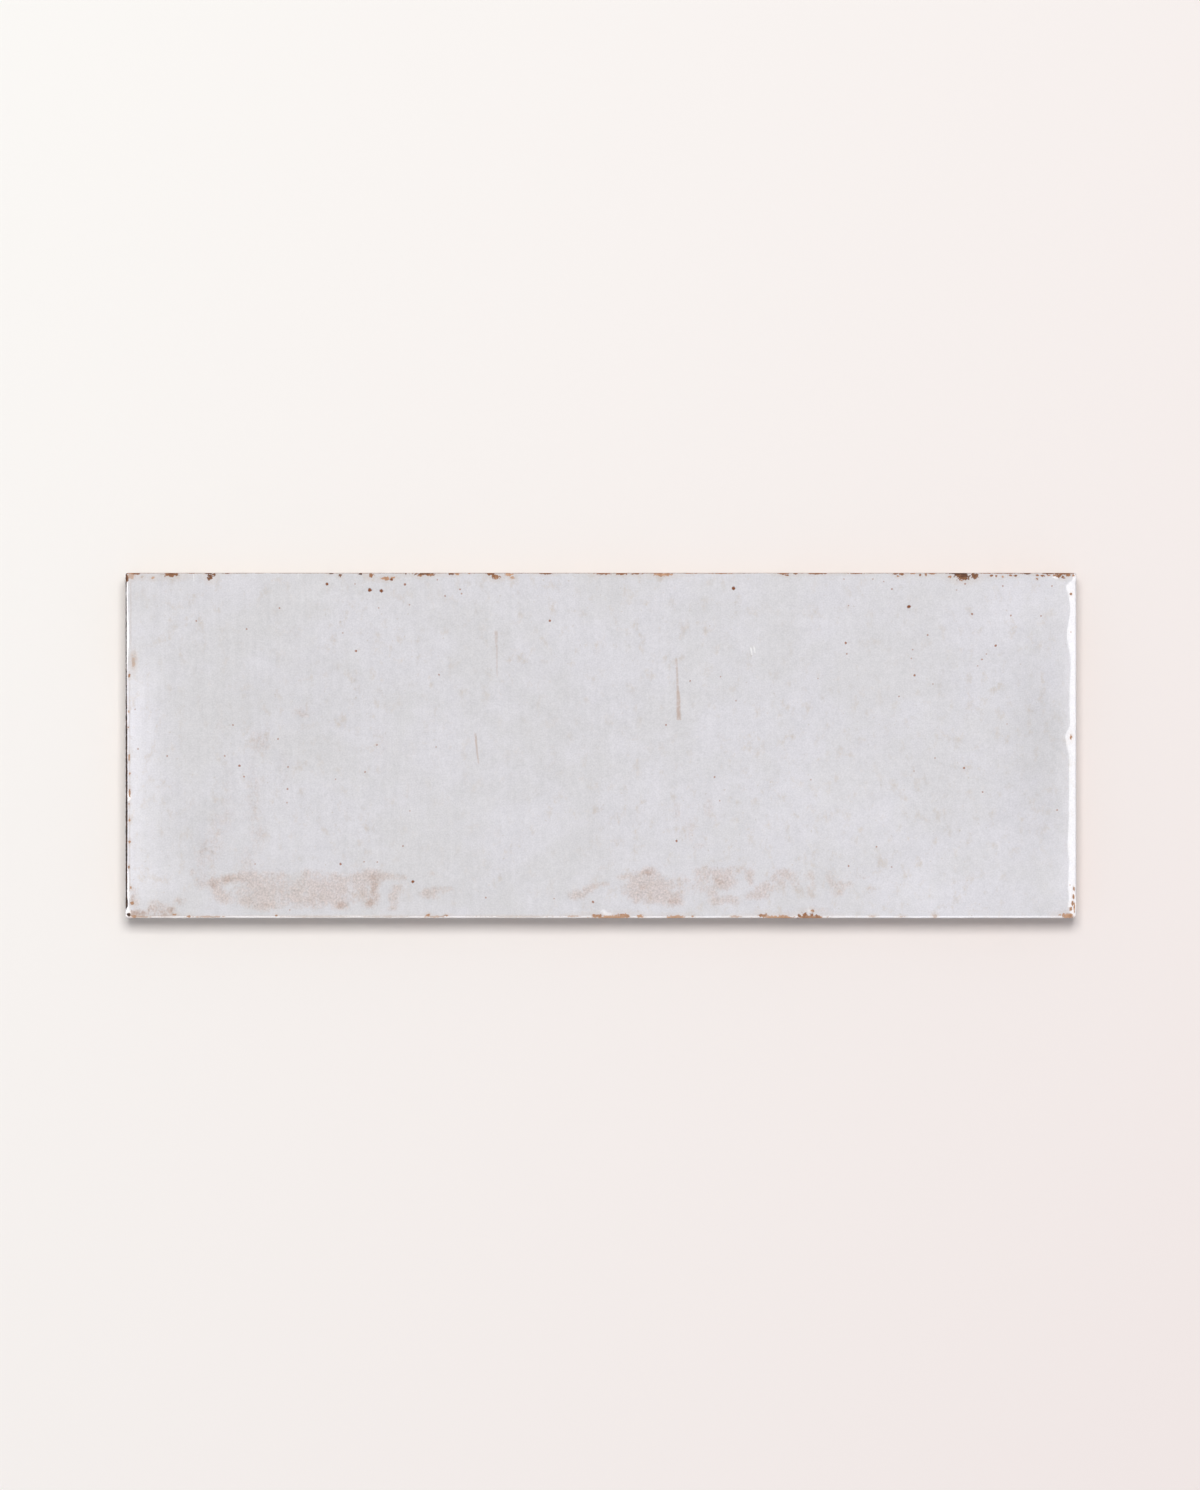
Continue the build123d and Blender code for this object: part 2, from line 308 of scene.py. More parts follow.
# Rust runs down the glaze: place, half width and strength at the top and then at the bottom, in pixels
RUNS = [
    ((676.4, 657, 1.4, 0.6), (678.0, 694, 1.8, 0.7)), ((678.0, 690, 2.6, 0.8), (679.2, 721, 3.2, 1.0)),
    ((496.0, 630, 2.6, 0.6), (496.4, 648, 1.4, 0.4)), ((496.6, 645, 1.3, 0.4), (497.4, 677, 1.1, 0.3)),
    ((475.2, 732, 1.8, 0.9), (478.6, 765, 1.1, 0.5)), ((129.7, 652, 0.7, 0.4), (129.7, 906, 0.8, 0.5)),
    ((130.6, 578, 1.3, 0.25), (130.6, 648, 1.3, 0.3)),
]

# Pale ticks scratched in the glaze, the first two of them painted glints, given as the runs are
TICKS_AND_GLINTS = [
    ((750.8, 647, 1.3, 1.0), (752.2, 655.5, 1.0, 0.8)), ((754.0, 646, 1.3, 1.0), (755.2, 653.5, 1.0, 0.8)),
    ((193.4, 572, 1.0, 0.6), (193.9, 582, 0.9, 0.4)), ((298.0, 573, 0.9, 0.5), (298.2, 579, 0.8, 0.3)),
]

# Chips out of the arrises: place and radius in pixels, and depth. The rim lies a little past the radius, and
# the depth is broken up from a least share of itself
CHIPS = [
    (127.5, 913, 3.6, 0.12), (967, 573, 9, 0.30), (210, 573, 6, 0.22), (1060, 574, 7, 0.20),
    (810, 917, 9, 0.18), (126, 797, 5, 0.15), (606, 917, 12, 0.14), (493, 573, 6, 0.16), (1074, 905, 5, 0.2),
]
CHIP_RIM = 1.15
CHIP_LEAST, CHIP_BROKEN = 0.6, 0.8


def colour(red, green, blue):
    """A colour as it looks on screen, 0 to 255, as the linear colour that a socket takes."""
    shares = [value / 255 for value in (red, green, blue)]
    linear = [share / 12.92 if share <= 0.04045 else ((share + 0.055) / 1.055) ** 2.4 for share in shares]
    return (*linear, 1.0)


# Shades of the glaze and its marks, and of the clay by its tone
GLAZE_GREY = colour(213.4, 211.3, 213.6)
GLAZE_LAVENDER = colour(218.8, 216.6, 222.4)
GLAZE_FLECK = colour(202, 192, 185)
GLAZE_DOT = colour(190, 178, 167)
STAIN_TINT = (0.886, 0.805, 0.756, 1)
GRIME_TINT = (0.76, 0.64, 0.57, 1)
SPECK_SMALL = colour(160, 96, 55)
SPECK_LARGE = colour(124, 69, 36)
TICK_AND_GLINT_COLOUR = colour(243, 242, 243)
RUN_COLOUR = colour(182, 152, 134)
HALO_COLOUR = colour(200, 180, 163)
CLAY_TONES = [
    (0.0, colour(181, 175, 168)), (0.36, colour(203, 161, 132)), (0.58, colour(155, 109, 78)),
    (0.8, colour(108, 73, 54)), (1.0, colour(54, 43, 40)),
]

# The pale table and the background's two ends, as they render
TABLE_TOP_LEFT = (251.6, 249.0, 245.6)
TABLE_LOW_RIGHT = (244.4, 234.2, 232.2)


def on_tile(px, py):
    """The place on the tile, in millimetres, of a pixel of the photograph."""
    return (px - MIDDLE_PX) / PX_PER_MM, (MIDDLE_PY - py) / PX_PER_MM


def smooth(share):
    """An eased step from 0 to 1."""
    share = np.clip(share, 0, 1)
    return share * share * (3 - 2 * share)


def eased(listed, at):
    """The listed values at any place between, eased so that each one is a crest, a dip or a shoulder."""
    places, values = np.array(sorted(listed), float).T
    before = np.clip(np.searchsorted(places, at) - 1, 0, len(places) - 2)
    share = smooth((at - places[before]) / (places[before + 1] - places[before]))
    return values[before] + share * (values[before + 1] - values[before])


def wave(distance, pitch, phase=0.0):
    """A cosine wave of the given pitch, from -1 to 1."""
    return np.cos(2 * pi * distance / pitch + phase)


def face_height(x, y):
    """Height of the glaze above the back, as in the part."""
    chequer = wave(x, CHEQUER_ALONG, CHEQUER_PHASE_ALONG) * wave(y, CHEQUER_ACROSS, CHEQUER_PHASE_ACROSS)
    slant = wave(x + SLANT_LEAN * y, SLANT_PITCH, SLANT_PHASE)
    hollow = SWELL_DEPTH * (1 - CHEQUER_SHARE * chequer - (1 - CHEQUER_SHARE) * slant) / 2
    end_ripple = 1 + RIPPLE_SHARE * wave(y + RIPPLE_LEAN * x, END_RIPPLE_PITCH)
    side_ripple = 1 + RIPPLE_SHARE * wave(x + RIPPLE_LEAN * y, SIDE_RIPPLE_PITCH)
    end_drop = END_FALL * end_ripple * abs(2 * x / LENGTH) ** PILLOW_POWER
    side_drop = SIDE_FALL * side_ripple * abs(2 * y / WIDTH) ** PILLOW_POWER
    return THICKNESS - hollow - end_drop - side_drop


def glaze_waves(x, y):
    """Small waves of the glaze, in seeded directions, none of them above the face."""
    draw = np.random.default_rng(GLAZE_SEED)
    total = np.zeros_like(x)
    for pitch in GLAZE_WAVES:
        turn, phase = draw.uniform(0, 2 * pi, 2)
        total += pitch * (wave(x * cos(turn) + y * sin(turn), pitch, phase) - 1)
    return total * GLAZE_WAVE_HEIGHT / GLAZE_WAVES.sum()


def lattice(x, y, pitch, seed):
    """Seeded smooth noise from 0 to 1 with bumps about a pitch apart."""
    draw = np.random.default_rng(seed)
    cells = draw.random((NOISE_CELLS, NOISE_CELLS))
    u, v = x / pitch, y / pitch
    column, row = np.floor(u).astype(int), np.floor(v).astype(int)
    across, up = smooth(u - column), smooth(v - row)
    rows = [(row + ahead) % NOISE_CELLS for ahead in (0, 1)]
    columns = [(column + ahead) % NOISE_CELLS for ahead in (0, 1)]
    corner = [[cells[at_row, at_column] for at_column in columns] for at_row in rows]
    lower = corner[0][0] * (1 - across) + corner[0][1] * across
    upper = corner[1][0] * (1 - across) + corner[1][1] * across
    return lower * (1 - up) + upper * up


def grid_lines(extent):
    """The grid's lines across an extent: how far round a roll each one is, on which side, and its share."""
    count = round(extent / FACE_STEP)
    wide = np.linspace(0, ROLL_TURN, ROLL_STEPS + 1)
    tight = np.linspace(ROLL_TURN, pi / 2, ARRIS_STEPS + 1)
    turn = np.concatenate([wide[1:], tight[1:]])
    turned = np.concatenate([turn[::-1], np.zeros(count + 1), turn])
    side = np.concatenate([-np.ones(len(turn)), np.zeros(count + 1), np.ones(len(turn))])
    share = np.concatenate([np.zeros(len(turn)), np.linspace(0, 1, count + 1), np.ones(len(turn))])
    return turned, side, share


def rolled(turn, width):
    """How far out, down and along its skin an edge has come at a turn of it: first a roll, then the arris."""
    wide, tight = np.minimum(turn, ROLL_TURN), np.maximum(turn, ROLL_TURN)
    radius = width / sin(ROLL_TURN)
    out = radius * np.sin(wide) + ARRIS_ROUND * (np.sin(tight) - sin(ROLL_TURN))
    fall = radius * (1 - np.cos(wide)) + ARRIS_ROUND * (cos(ROLL_TURN) - np.cos(tight))
    return out, fall, width * wide / ROLL_TURN + ARRIS_ROUND * (tight - ROLL_TURN)


def chip_depth(x, y):
    """How deep a chip goes at a place of the plan."""
    depth = np.zeros_like(x)
    for px, py, radius, deepest in CHIPS:
        at_x, at_y = on_tile(px, py)
        away = np.hypot(x - at_x, y - at_y) * PX_PER_MM / radius
        depth = np.maximum(depth, deepest * smooth(CHIP_RIM - away))
    return depth * (CHIP_LEAST + CHIP_BROKEN * lattice(x, y, *CHIP_BREAKS))


def face_grid():
    """The glazed face and its rolled edges as rows of points, and the same points rolled out flat."""
    turn_x, side_x, share_x = (line[None, :] for line in grid_lines(LENGTH))
    turn_y, side_y, share_y = (line[:, None] for line in grid_lines(WIDTH))
    px = TILE_LEFT + share_x * (TILE_RIGHT - TILE_LEFT)
    py = TILE_BOTTOM - share_y * (TILE_BOTTOM - TILE_TOP)
    left, right = eased(LEFT_ROLL, py) / PX_PER_MM, eased(RIGHT_ROLL, py) / PX_PER_MM
    bottom, top = eased(BOTTOM_ROLL, px) / PX_PER_MM, eased(TOP_ROLL, px) / PX_PER_MM
    roll_x, roll_y = np.where(side_x < 0, left, right), np.where(side_y < 0, bottom, top)
    inner_x = -LENGTH / 2 + left + ARRIS_OUT + share_x * (LENGTH - left - right - 2 * ARRIS_OUT)
    inner_y = -WIDTH / 2 + bottom + ARRIS_OUT + share_y * (WIDTH - bottom - top - 2 * ARRIS_OUT)
    turned = np.minimum(turn_x, ROLL_TURN) * np.minimum(turn_y, ROLL_TURN) / ROLL_TURN**2
    eased_corner = CORNER_EASE * turned**2
    (out_x, fall_x, along_x), (out_y, fall_y, along_y) = rolled(turn_x, roll_x), rolled(turn_y, roll_y)
    x = inner_x + side_x * (out_x - eased_corner)
    y = inner_y + side_y * (out_y - eased_corner)
    z = face_height(x, y) + glaze_waves(x, y) - fall_x - fall_y - chip_depth(x, y)
    flat_x, flat_y = inner_x + side_x * along_x + 0 * turn_y, inner_y + side_y * along_y + 0 * turn_x
    return np.stack([x, y, z], -1), np.stack([flat_x, flat_y], -1)


def key_places(extent):
    """Middles of the pockets across an extent, and the size of one."""
    span = extent - 2 * KEY_BORDER + KEY_RIB
    count = max(1, round(span / KEY_PITCH))
    pitch = span / count
    return [(place - (count - 1) / 2) * pitch for place in range(count)], pitch - KEY_RIB


def pocket_outline(middle_x, middle_y, length, width, corner, z):
    """A rectangle with rounded corners, point by point round its middle."""
    outline = []
    for quarter, (toward_x, toward_y) in enumerate([(1, 1), (-1, 1), (-1, -1), (1, -1)]):
        for angle in np.linspace(quarter * pi / 2, (quarter + 1) * pi / 2, KEY_CORNER_STEPS):
            at_x = middle_x + toward_x * (length / 2 - corner) + corner * cos(angle)
            at_y = middle_y + toward_y * (width / 2 - corner) + corner * sin(angle)
            outline.append((at_x, at_y, z))
    return outline


class Shell:
    """The tile's points, their depths below the arris, its faces and its bake map, region by region."""

    def __init__(self):
        self.points = []
        self.below = []
        self.faces = []
        self.flat = []

    def add_points(self, points, below):
        """Adds points and returns their numbers."""
        start = len(self.points)
        self.points.extend(tuple(map(float, point)) for point in points)
        self.below.extend(np.broadcast_to(below, len(points)))
        return list(range(start, len(self.points)))

    def add_face(self, corners, flat):
        """Adds a face with a place on the flat map for each corner."""
        self.faces.append(tuple(corners))
        self.flat.extend(flat)


# Bake map: the face, the sides and the back laid out one above another, in millimetres
MAP_GAP = 2.0
MAP_SIZE = LENGTH + 4 * MAP_GAP
FACE_MAP = WIDTH / 2 + 2 * MAP_GAP
SIDE_MAPS = [FACE_MAP + WIDTH / 2 + 2 * MAP_GAP + row * (THICKNESS + MAP_GAP) for row in range(3)]
BACK_MAP = SIDE_MAPS[-1] + THICKNESS + WIDTH / 2 + MAP_GAP


def on_map(along, up):
    """A place on the bake map, from millimetres."""
    return 0.5 + along / MAP_SIZE, up / MAP_SIZE


def add_face_of_glaze(shell, grid, unrolled):
    """The glazed face with its rolled edges. Returns the numbers of its points, row by row."""
    rows, columns = grid.shape[:2]
    shell.add_points(grid.reshape(-1, 3), 0.0)
    numbers = np.arange(rows * columns).reshape(rows, columns)
    for row in range(rows - 1):
        for column in range(columns - 1):
            spots = [(row, column), (row, column + 1), (row + 1, column + 1), (row + 1, column)]
            flat = [on_map(unrolled[spot][0], FACE_MAP + unrolled[spot][1]) for spot in spots]
            shell.add_face([numbers[spot] for spot in spots], flat)
    return numbers


def outline_of(numbers):
    """The outline of a grid of numbers, round from its first corner, and the side that each step lies on."""
    front, right, back, left = numbers[0, :-1], numbers[:-1, -1], numbers[-1, :0:-1], numbers[:0:-1, 0]
    sides = [side for side, run in enumerate((front, right, back, left)) for _ in run]
    return np.concatenate([front, right, back, left]), sides


def side_spot(side, point):
    """Place on the bake map of a point of one of the four sides."""
    if side == 0:
        return on_map(point[0], SIDE_MAPS[0] + point[2])
    if side == 2:
        return on_map(point[0], SIDE_MAPS[1] + point[2])
    half = WIDTH / 2 + MAP_GAP
    return on_map(point[1] + (half if side == 1 else -half), SIDE_MAPS[2] + point[2])


def glaze_run(x, y):
    """How far down a side the glaze has run."""
    swags = lattice(x + y, x - y, *GLAZE_SWAGS)
    drips = lattice(x + y, x - y, *GLAZE_DRIPS)
    return GLAZE_RUN_LEAST + GLAZE_RUN_SWAG * swags + GLAZE_RUN_DRIP * drips


def add_sides(shell, ring, sides):
    """The upright sides, slightly uneven and fuller where glazed. Returns the ring at the back's chamfer."""
    rim = np.array([shell.points[number] for number in ring])
    upper = list(ring)
    for step in range(1, SIDE_STEPS + 1):
        level = rim.copy()
        level[:, 2] += (BACK_CHAMFER - rim[:, 2]) * step / SIDE_STEPS
        below = rim[:, 2] - level[:, 2]
        broad = lattice(rim[:, 0] + rim[:, 1], level[:, 2], *SIDE_BUMPS)
        fine = lattice(rim[:, 0] - rim[:, 1], level[:, 2], *SIDE_PITS)
        inset = SIDE_ROUGHNESS * broad * fine * min(1, step / SIDE_EASE_STEPS)
        inset += GLAZE_THICK * smooth(GLAZE_RIM_EASE + below - glaze_run(rim[:, 0], rim[:, 1]))
        level[:, 0] *= 1 - inset / (LENGTH / 2)
        level[:, 1] *= 1 - inset / (WIDTH / 2)
        lower = shell.add_points(level, below)
        join_rings(shell, upper, lower, lambda at, number: side_spot(sides[at], shell.points[number]))
        upper = lower
    return upper


def join_rings(shell, upper, lower, spot):
    """A band of faces between two rings of points."""
    count = len(upper)
    for at in range(count):
        after = (at + 1) % count
        corners = [lower[at], lower[after], upper[after], upper[at]]
        shell.add_face(corners, [spot(at, number) for number in corners])


def back_spot(shell, number):
    """Place on the bake map of a point of the back."""
    return on_map(shell.points[number][0], BACK_MAP + shell.points[number][1])


def add_back(shell, rim):
    """The chamfer and the flat back, with its pockets sunk between the ribs."""
    chamfered = []
    for number in rim:
        x, y, _ = shell.points[number]
        chamfered.append((x * (1 - 2 * BACK_CHAMFER / LENGTH), y * (1 - 2 * BACK_CHAMFER / WIDTH), 0.0))
    outer = shell.add_points(chamfered, THICKNESS)
    join_rings(shell, rim, outer, lambda at, number: back_spot(shell, number))
    loops = [outer]
    sunk = KEY_DEPTH * tan(radians(KEY_DRAFT))
    places_x, length = key_places(LENGTH)
    places_y, width = key_places(WIDTH)
    for middle_x in places_x:
        for middle_y in places_y:
            mouth = pocket_outline(middle_x, middle_y, length, width, KEY_CORNER, 0.0)
            floor = pocket_outline(
                middle_x, middle_y, length - 2 * sunk, width - 2 * sunk, KEY_CORNER - sunk, KEY_DEPTH
            )
            mouth, floor = shell.add_points(mouth, THICKNESS), shell.add_points(floor, THICKNESS)
            join_rings(shell, mouth, floor, lambda at, number: back_spot(shell, number))
            shell.add_face(floor[::-1], [back_spot(shell, number) for number in floor[::-1]])
            loops.append(mouth)
    flat_numbers = [number for loop in loops for number in loop]
    for triangle in tessellate_polygon([[Vector(shell.points[number]) for number in loop] for loop in loops]):
        corners = [flat_numbers[index] for index in triangle]
        a, b, c = (Vector(shell.points[number]) for number in corners)
        if (b - a).cross(c - a).z > 0:
            corners.reverse()
        shell.add_face(corners, [back_spot(shell, number) for number in corners])


def clay_fields(x, y, z, below):
    """For each point: how far inside bare clay it lies, in millimetres, and how dark that clay is."""
    top_line = TOP_LINE_WIDTH - (WIDTH / 2 - y) - below
    inside = (x + LENGTH / 2) * PX_PER_MM
    left_line = np.minimum(eased(LEFT_LINE, MIDDLE_PY - y * PX_PER_MM) - inside, inside - LEFT_LINE_START)
    left_line = left_line / PX_PER_MM - below
    # Down the sides the glaze stops in uneven runs, above clay that is toasted here and there
    past = below - glaze_run(x, y)
    unglazed = GLAZE_FEATHER * past
    patched = smooth(TOAST_STEEPNESS * lattice(x + y, x - y, *TOAST_PATCHES) - TOAST_START)
    toast = TOAST_LEAST + TOAST_PATCHED * patched
    fade = TOAST_FADE + lattice(x + y, x - y, *TOAST_FADES)
    toasted = BODY_TONE + toast * np.exp(-np.maximum(past, 0) / fade)
    bare = np.maximum(np.maximum(top_line, left_line), unglazed)
    tone = np.where(bare == left_line, LEFT_LINE_TONE, np.where(bare == top_line, TOP_LINE_TONE, toasted))
    return np.where(z < BACK_LEVEL, BACK_BARE, bare), tone


def oval(x, y, px, py, half_wide, half_high):
    """A soft oval that is given in pixels: 1 at its middle, and fading outwards."""
    at_x, at_y = on_tile(px, py)
    away = ((x - at_x) / half_wide) ** 2 + ((y - at_y) / half_high) ** 2
    return np.exp(-away * PX_PER_MM**2)


def overlapped(marks, x, y):
    """How strong soft oval marks are together at each point."""
    clear = np.ones_like(x)
    for *outline, strength in marks:
        clear *= 1 - strength * oval(x, y, *outline)
    return 1 - clear


def glaze_tone(x, y):
    """Gain of the glaze's lightness over its broad lighter and darker places, partly painted shade and sheen,
    and the painted sheen by the left end.
    """
    gain = np.zeros_like(x)
    for *outline, amount in TONES_AND_PAINTED_SHADING:
        gain += amount * oval(x, y, *outline)
    # Painted sheen along the left end
    painted_sheen = eased(LEFT_PAINTED_SHEEN, MIDDLE_PY - y * PX_PER_MM)
    return gain + painted_sheen * np.exp(-(((x + LENGTH / 2) / LEFT_PAINTED_SHEEN_WIDTH) ** 2))


def nearest_marks(marks, x, y):
    """For each face, its nearest mark's place and tone, then one over its half sizes, and its strength."""
    px, py, half_wide, half_high, tone = np.array(marks, float).T
    at_x, at_y = on_tile(px, py)
    across, up = PX_PER_MM / half_wide, PX_PER_MM / half_high
    nearest = np.argmin(np.hypot((x[:, None] - at_x) * across, (y[:, None] - at_y) * up), 1)
    strength = np.clip(MARK_STRENGTH * tone, MARK_FAINTEST, 1)
    return np.stack([at_x, at_y, tone], 1)[nearest], np.stack([across, up, strength], 1)[nearest]


def set_field(mesh, name, domain, values):
    """Keeps a number, or a vector, for each point or face of a mesh, where its material can read it."""
    kind, key = ("FLOAT", "value") if values.ndim == 1 else ("FLOAT_VECTOR", "vector")
    mesh.attributes.new(name, kind, domain).data.foreach_set(key, values.astype(np.float32).ravel())


def tile_mesh():
    """The whole fired tile as one closed mesh, with the fields that its finish reads."""
    shell = Shell()
    grid, unrolled = face_grid()
    ring, sides = outline_of(add_face_of_glaze(shell, grid, unrolled))
    add_back(shell, add_sides(shell, ring, sides))
    mesh = bpy.data.meshes.new("glazed_tile")
    points = np.array(shell.points)
    mesh.from_pydata((points * MM).tolist(), [], shell.faces)
    bake_map = mesh.uv_layers.new(name="OFBake")
    bake_map.data.foreach_set("uv", np.array(shell.flat, np.float32).ravel())
    x, y, z = points.T
    below = np.array(shell.below)
    bare, tone = clay_fields(x, y, z, below)
    set_field(mesh, "bare", "POINT", bare)
    set_field(mesh, "clay_tone", "POINT", tone)
    set_field(mesh, "stain", "POINT", overlapped(STAINS, x, y))
    set_field(mesh, "grime", "POINT", overlapped(GRIME, x, y))
    set_field(mesh, "glaze_tone", "POINT", glaze_tone(x, y))
    set_field(mesh, "below", "POINT", below)
    middles = np.array([points[list(face)].mean(0) for face in shell.faces])
    specks = [(px, py, size, size, SPECK_TONES[size]) for size, places in SPECKS.items() for px, py in places]
    for name, marks in (("wear", TOP_WEAR + BOTTOM_WEAR + END_WEAR), ("speck", specks)):
        places, sizes = nearest_marks(marks, middles[:, 0], middles[:, 1])
        set_field(mesh, f"{name}_place", "FACE", places)
        set_field(mesh, f"{name}_size", "FACE", sizes)
    mesh.polygons.foreach_set("use_smooth", np.ones(len(mesh.polygons), bool))
    mesh.set_sharp_from_angle(angle=SHARP_ANGLE)
    mesh.update()
    return mesh


class Wire:
    """An output of a node, so that sums on it read as plain Python and add Math nodes."""

    def __init__(self, finish, socket):
        self.finish = finish
        self.socket = socket

    def sum(self, operation, *values):
        """A Math node on these values."""
        return self.finish.node("ShaderNodeMath", {"operation": operation}, dict(enumerate(values)))

    def __add__(self, other):
        return self.sum("ADD", self, other)

    def __radd__(self, other):
        return self.sum("ADD", other, self)

    def __sub__(self, other):
        return self.sum("SUBTRACT", self, other)

    def __rsub__(self, other):
        return self.sum("SUBTRACT", other, self)

    def __mul__(self, other):
        return self.sum("MULTIPLY", self, other)

    def __rmul__(self, other):
        return self.sum("MULTIPLY", other, self)

    def __truediv__(self, other):
        return self.sum("DIVIDE", self, other)

    def __abs__(self):
        return self.sum("ABSOLUTE", self)

    def most(self, other):
        """The larger of two values."""
        return self.sum("MAXIMUM", self, other)

    def step(self, start, end):
        """An eased step from 0 at start to 1 at end."""
        sockets = {"Value": self, "From Min": start, "From Max": end}
        return self.finish.node("ShaderNodeMapRange", {"interpolation_type": "SMOOTHSTEP"}, sockets)

    def scaled(self, factor):
        """A colour or vector times a number."""
        return self.finish.node("ShaderNodeVectorMath", {"operation": "SCALE"}, {0: self, "Scale": factor})

    def times(self, other):
        """A colour or vector times another, part by part."""
        return self.finish.node("ShaderNodeVectorMath", {"operation": "MULTIPLY"}, {0: self, 1: other})

    def minus(self, other):
        """A vector less another."""
        return self.finish.node("ShaderNodeVectorMath", {"operation": "SUBTRACT"}, {0: self, 1: other})

    def long(self):
        """How long a vector is."""
        return self.finish.node("ShaderNodeVectorMath", {"operation": "LENGTH"}, {0: self}, "Value")

    def part(self, axis):
        """One part of a vector."""
        return self.finish.node("ShaderNodeSeparateXYZ", {}, {0: self}, axis)

    def toward(self, other, share):
        """This colour mixed towards another."""
        return self.finish.blend(self, other, share)


class Finish:
    """The nodes of a material or of the world, added one at a time."""

    def __init__(self, owner):
        owner.use_nodes = True
        self.tree = owner.node_tree
        self.tree.nodes.clear()

    def node(self, kind, settings, sockets, output=0):
        """Adds any node: its settings are set first, then its sockets get values or links."""
        made = self.tree.nodes.new(kind)
        for name, value in settings.items():
            if name == "stops":
                set_stops(made.color_ramp.elements, value)
            else:
                setattr(made, name, value)
        for key, value in sockets.items():
            socket = find_socket(made.inputs, key)
            if isinstance(value, Wire):
                self.tree.links.new(value.socket, socket)
            else:
                socket.default_value = value
        return Wire(self, find_socket(made.outputs, output)) if made.outputs else None

    def field(self, name, output="Fac"):
        """A field that the mesh holds."""
        return self.node("ShaderNodeAttribute", {"attribute_name": name}, {}, output)

    def blend(self, first, second, share):
        """A colour between two."""
        sockets = {"Factor_Float": share, "A_Color": first, "B_Color": second}
        return self.node("ShaderNodeMix", {"data_type": "RGBA"}, sockets, "Result_Color")

    def noise(self, place, pitch, detail=2.0, roughness=0.5):
        """Noise from 0 to 1, with its coarsest bumps about a pitch apart."""
        sockets = {"Vector": place, "Scale": 1 / pitch, "Detail": detail, "Roughness": roughness}
        return self.node("ShaderNodeTexNoise", {}, sockets)


def find_socket(sockets, key):
    """A socket by its number, or by its identifier or name."""
    if isinstance(key, int):
        return sockets[key]
    return next(socket for socket in sockets if key in (socket.identifier, socket.name))


def set_stops(elements, stops):
    """Gives a colour ramp its stops."""
    while len(elements) < len(stops):
        elements.new(1.0)
    for element, (position, shade) in zip(elements, stops):
        element.position = position
        element.color = shade


# Noise in the finish, each by its pitch, detail and roughness, and how some of it is drawn out along a side
CLOUDS = (13.0, 4.0, 0.6)
GATHERING = (26.0, 2.0)
GRAIN = (0.32, 1.0)
FLECKS = (2.3, 6.0, 0.72)
DOTS = (0.8, 2.0, 0.5)
BRUSHING = (1.0, 3.0, 0.6)
MOTTLE = (1.3, 3.0, 0.7)
BLOTCHES = (3.4, 2.0, 0.55)
STAIN_RAGS = (2.6, 5.0, 0.66)
STAIN_GRAINS = (0.45, 2.0, 0.6)
STAIN_PATCHES = (1.2, 3.0, 0.6)
RUN_BENDS = (3.0, 2.0)
RUN_BREAKS = (0.6, 2.0, 0.6)
CLAY_SHADES = (0.8, 3.0, 0.65)
CLAY_FINE = (0.45, 3.0, 0.7)
CLAY_BROAD = (9.0, 3.0, 0.6)
RAGS = (1.6, 3.0, 0.6)
CRUMBS = (0.42, 2.0, 0.6)
PEEL = (1.9, 2.0)
PORES = (0.35, 3.0, 0.7)
GLOSS_CLOUDS = (4.0, 3.0)
FLECK_STRETCH = (1.0, 0.7, 1.0)
BRUSH_STRETCH = (1.0, 0.06, 1.0)
STAIN_STRETCH = (1.0, 0.6, 1.0)

# Glaze: its share of lavender at least, in the clouds, towards the right and where it is lighter, which also
# tints the painted sheen cool
LAVENDER_LEAST = 0.14
LAVENDER_CLOUDS = 0.65
LAVENDER_RIGHT = 0.2
LAVENDER_TONE_AND_SHEEN = 2.2
CLOUD_EDGE = (0.36, 0.64)

# Its flecks and dots: where in their noise they show, their share everywhere and where they gather
GATHER_EDGE = (0.36, 0.62)
FLECK_EDGE = (0.52, 0.74)
FLECK_LEAST, FLECK_GATHERED = 0.31, 0.43
FLECK_EVEN, FLECK_GRAINY = 0.2, 1.6
DOT_EDGE = (0.66, 0.8)
DOT_LEAST, DOT_GATHERED = 0.12, 0.4

# How much its lightness varies: with brushing, which fades to the right, and with mottle, blotches and grain
BRUSH_GAIN, BRUSH_FADE = 0.09, 0.05
MOTTLE_GAIN = 0.16
BLOTCH_GAIN = 0.11
GRAIN_GAIN = 0.25


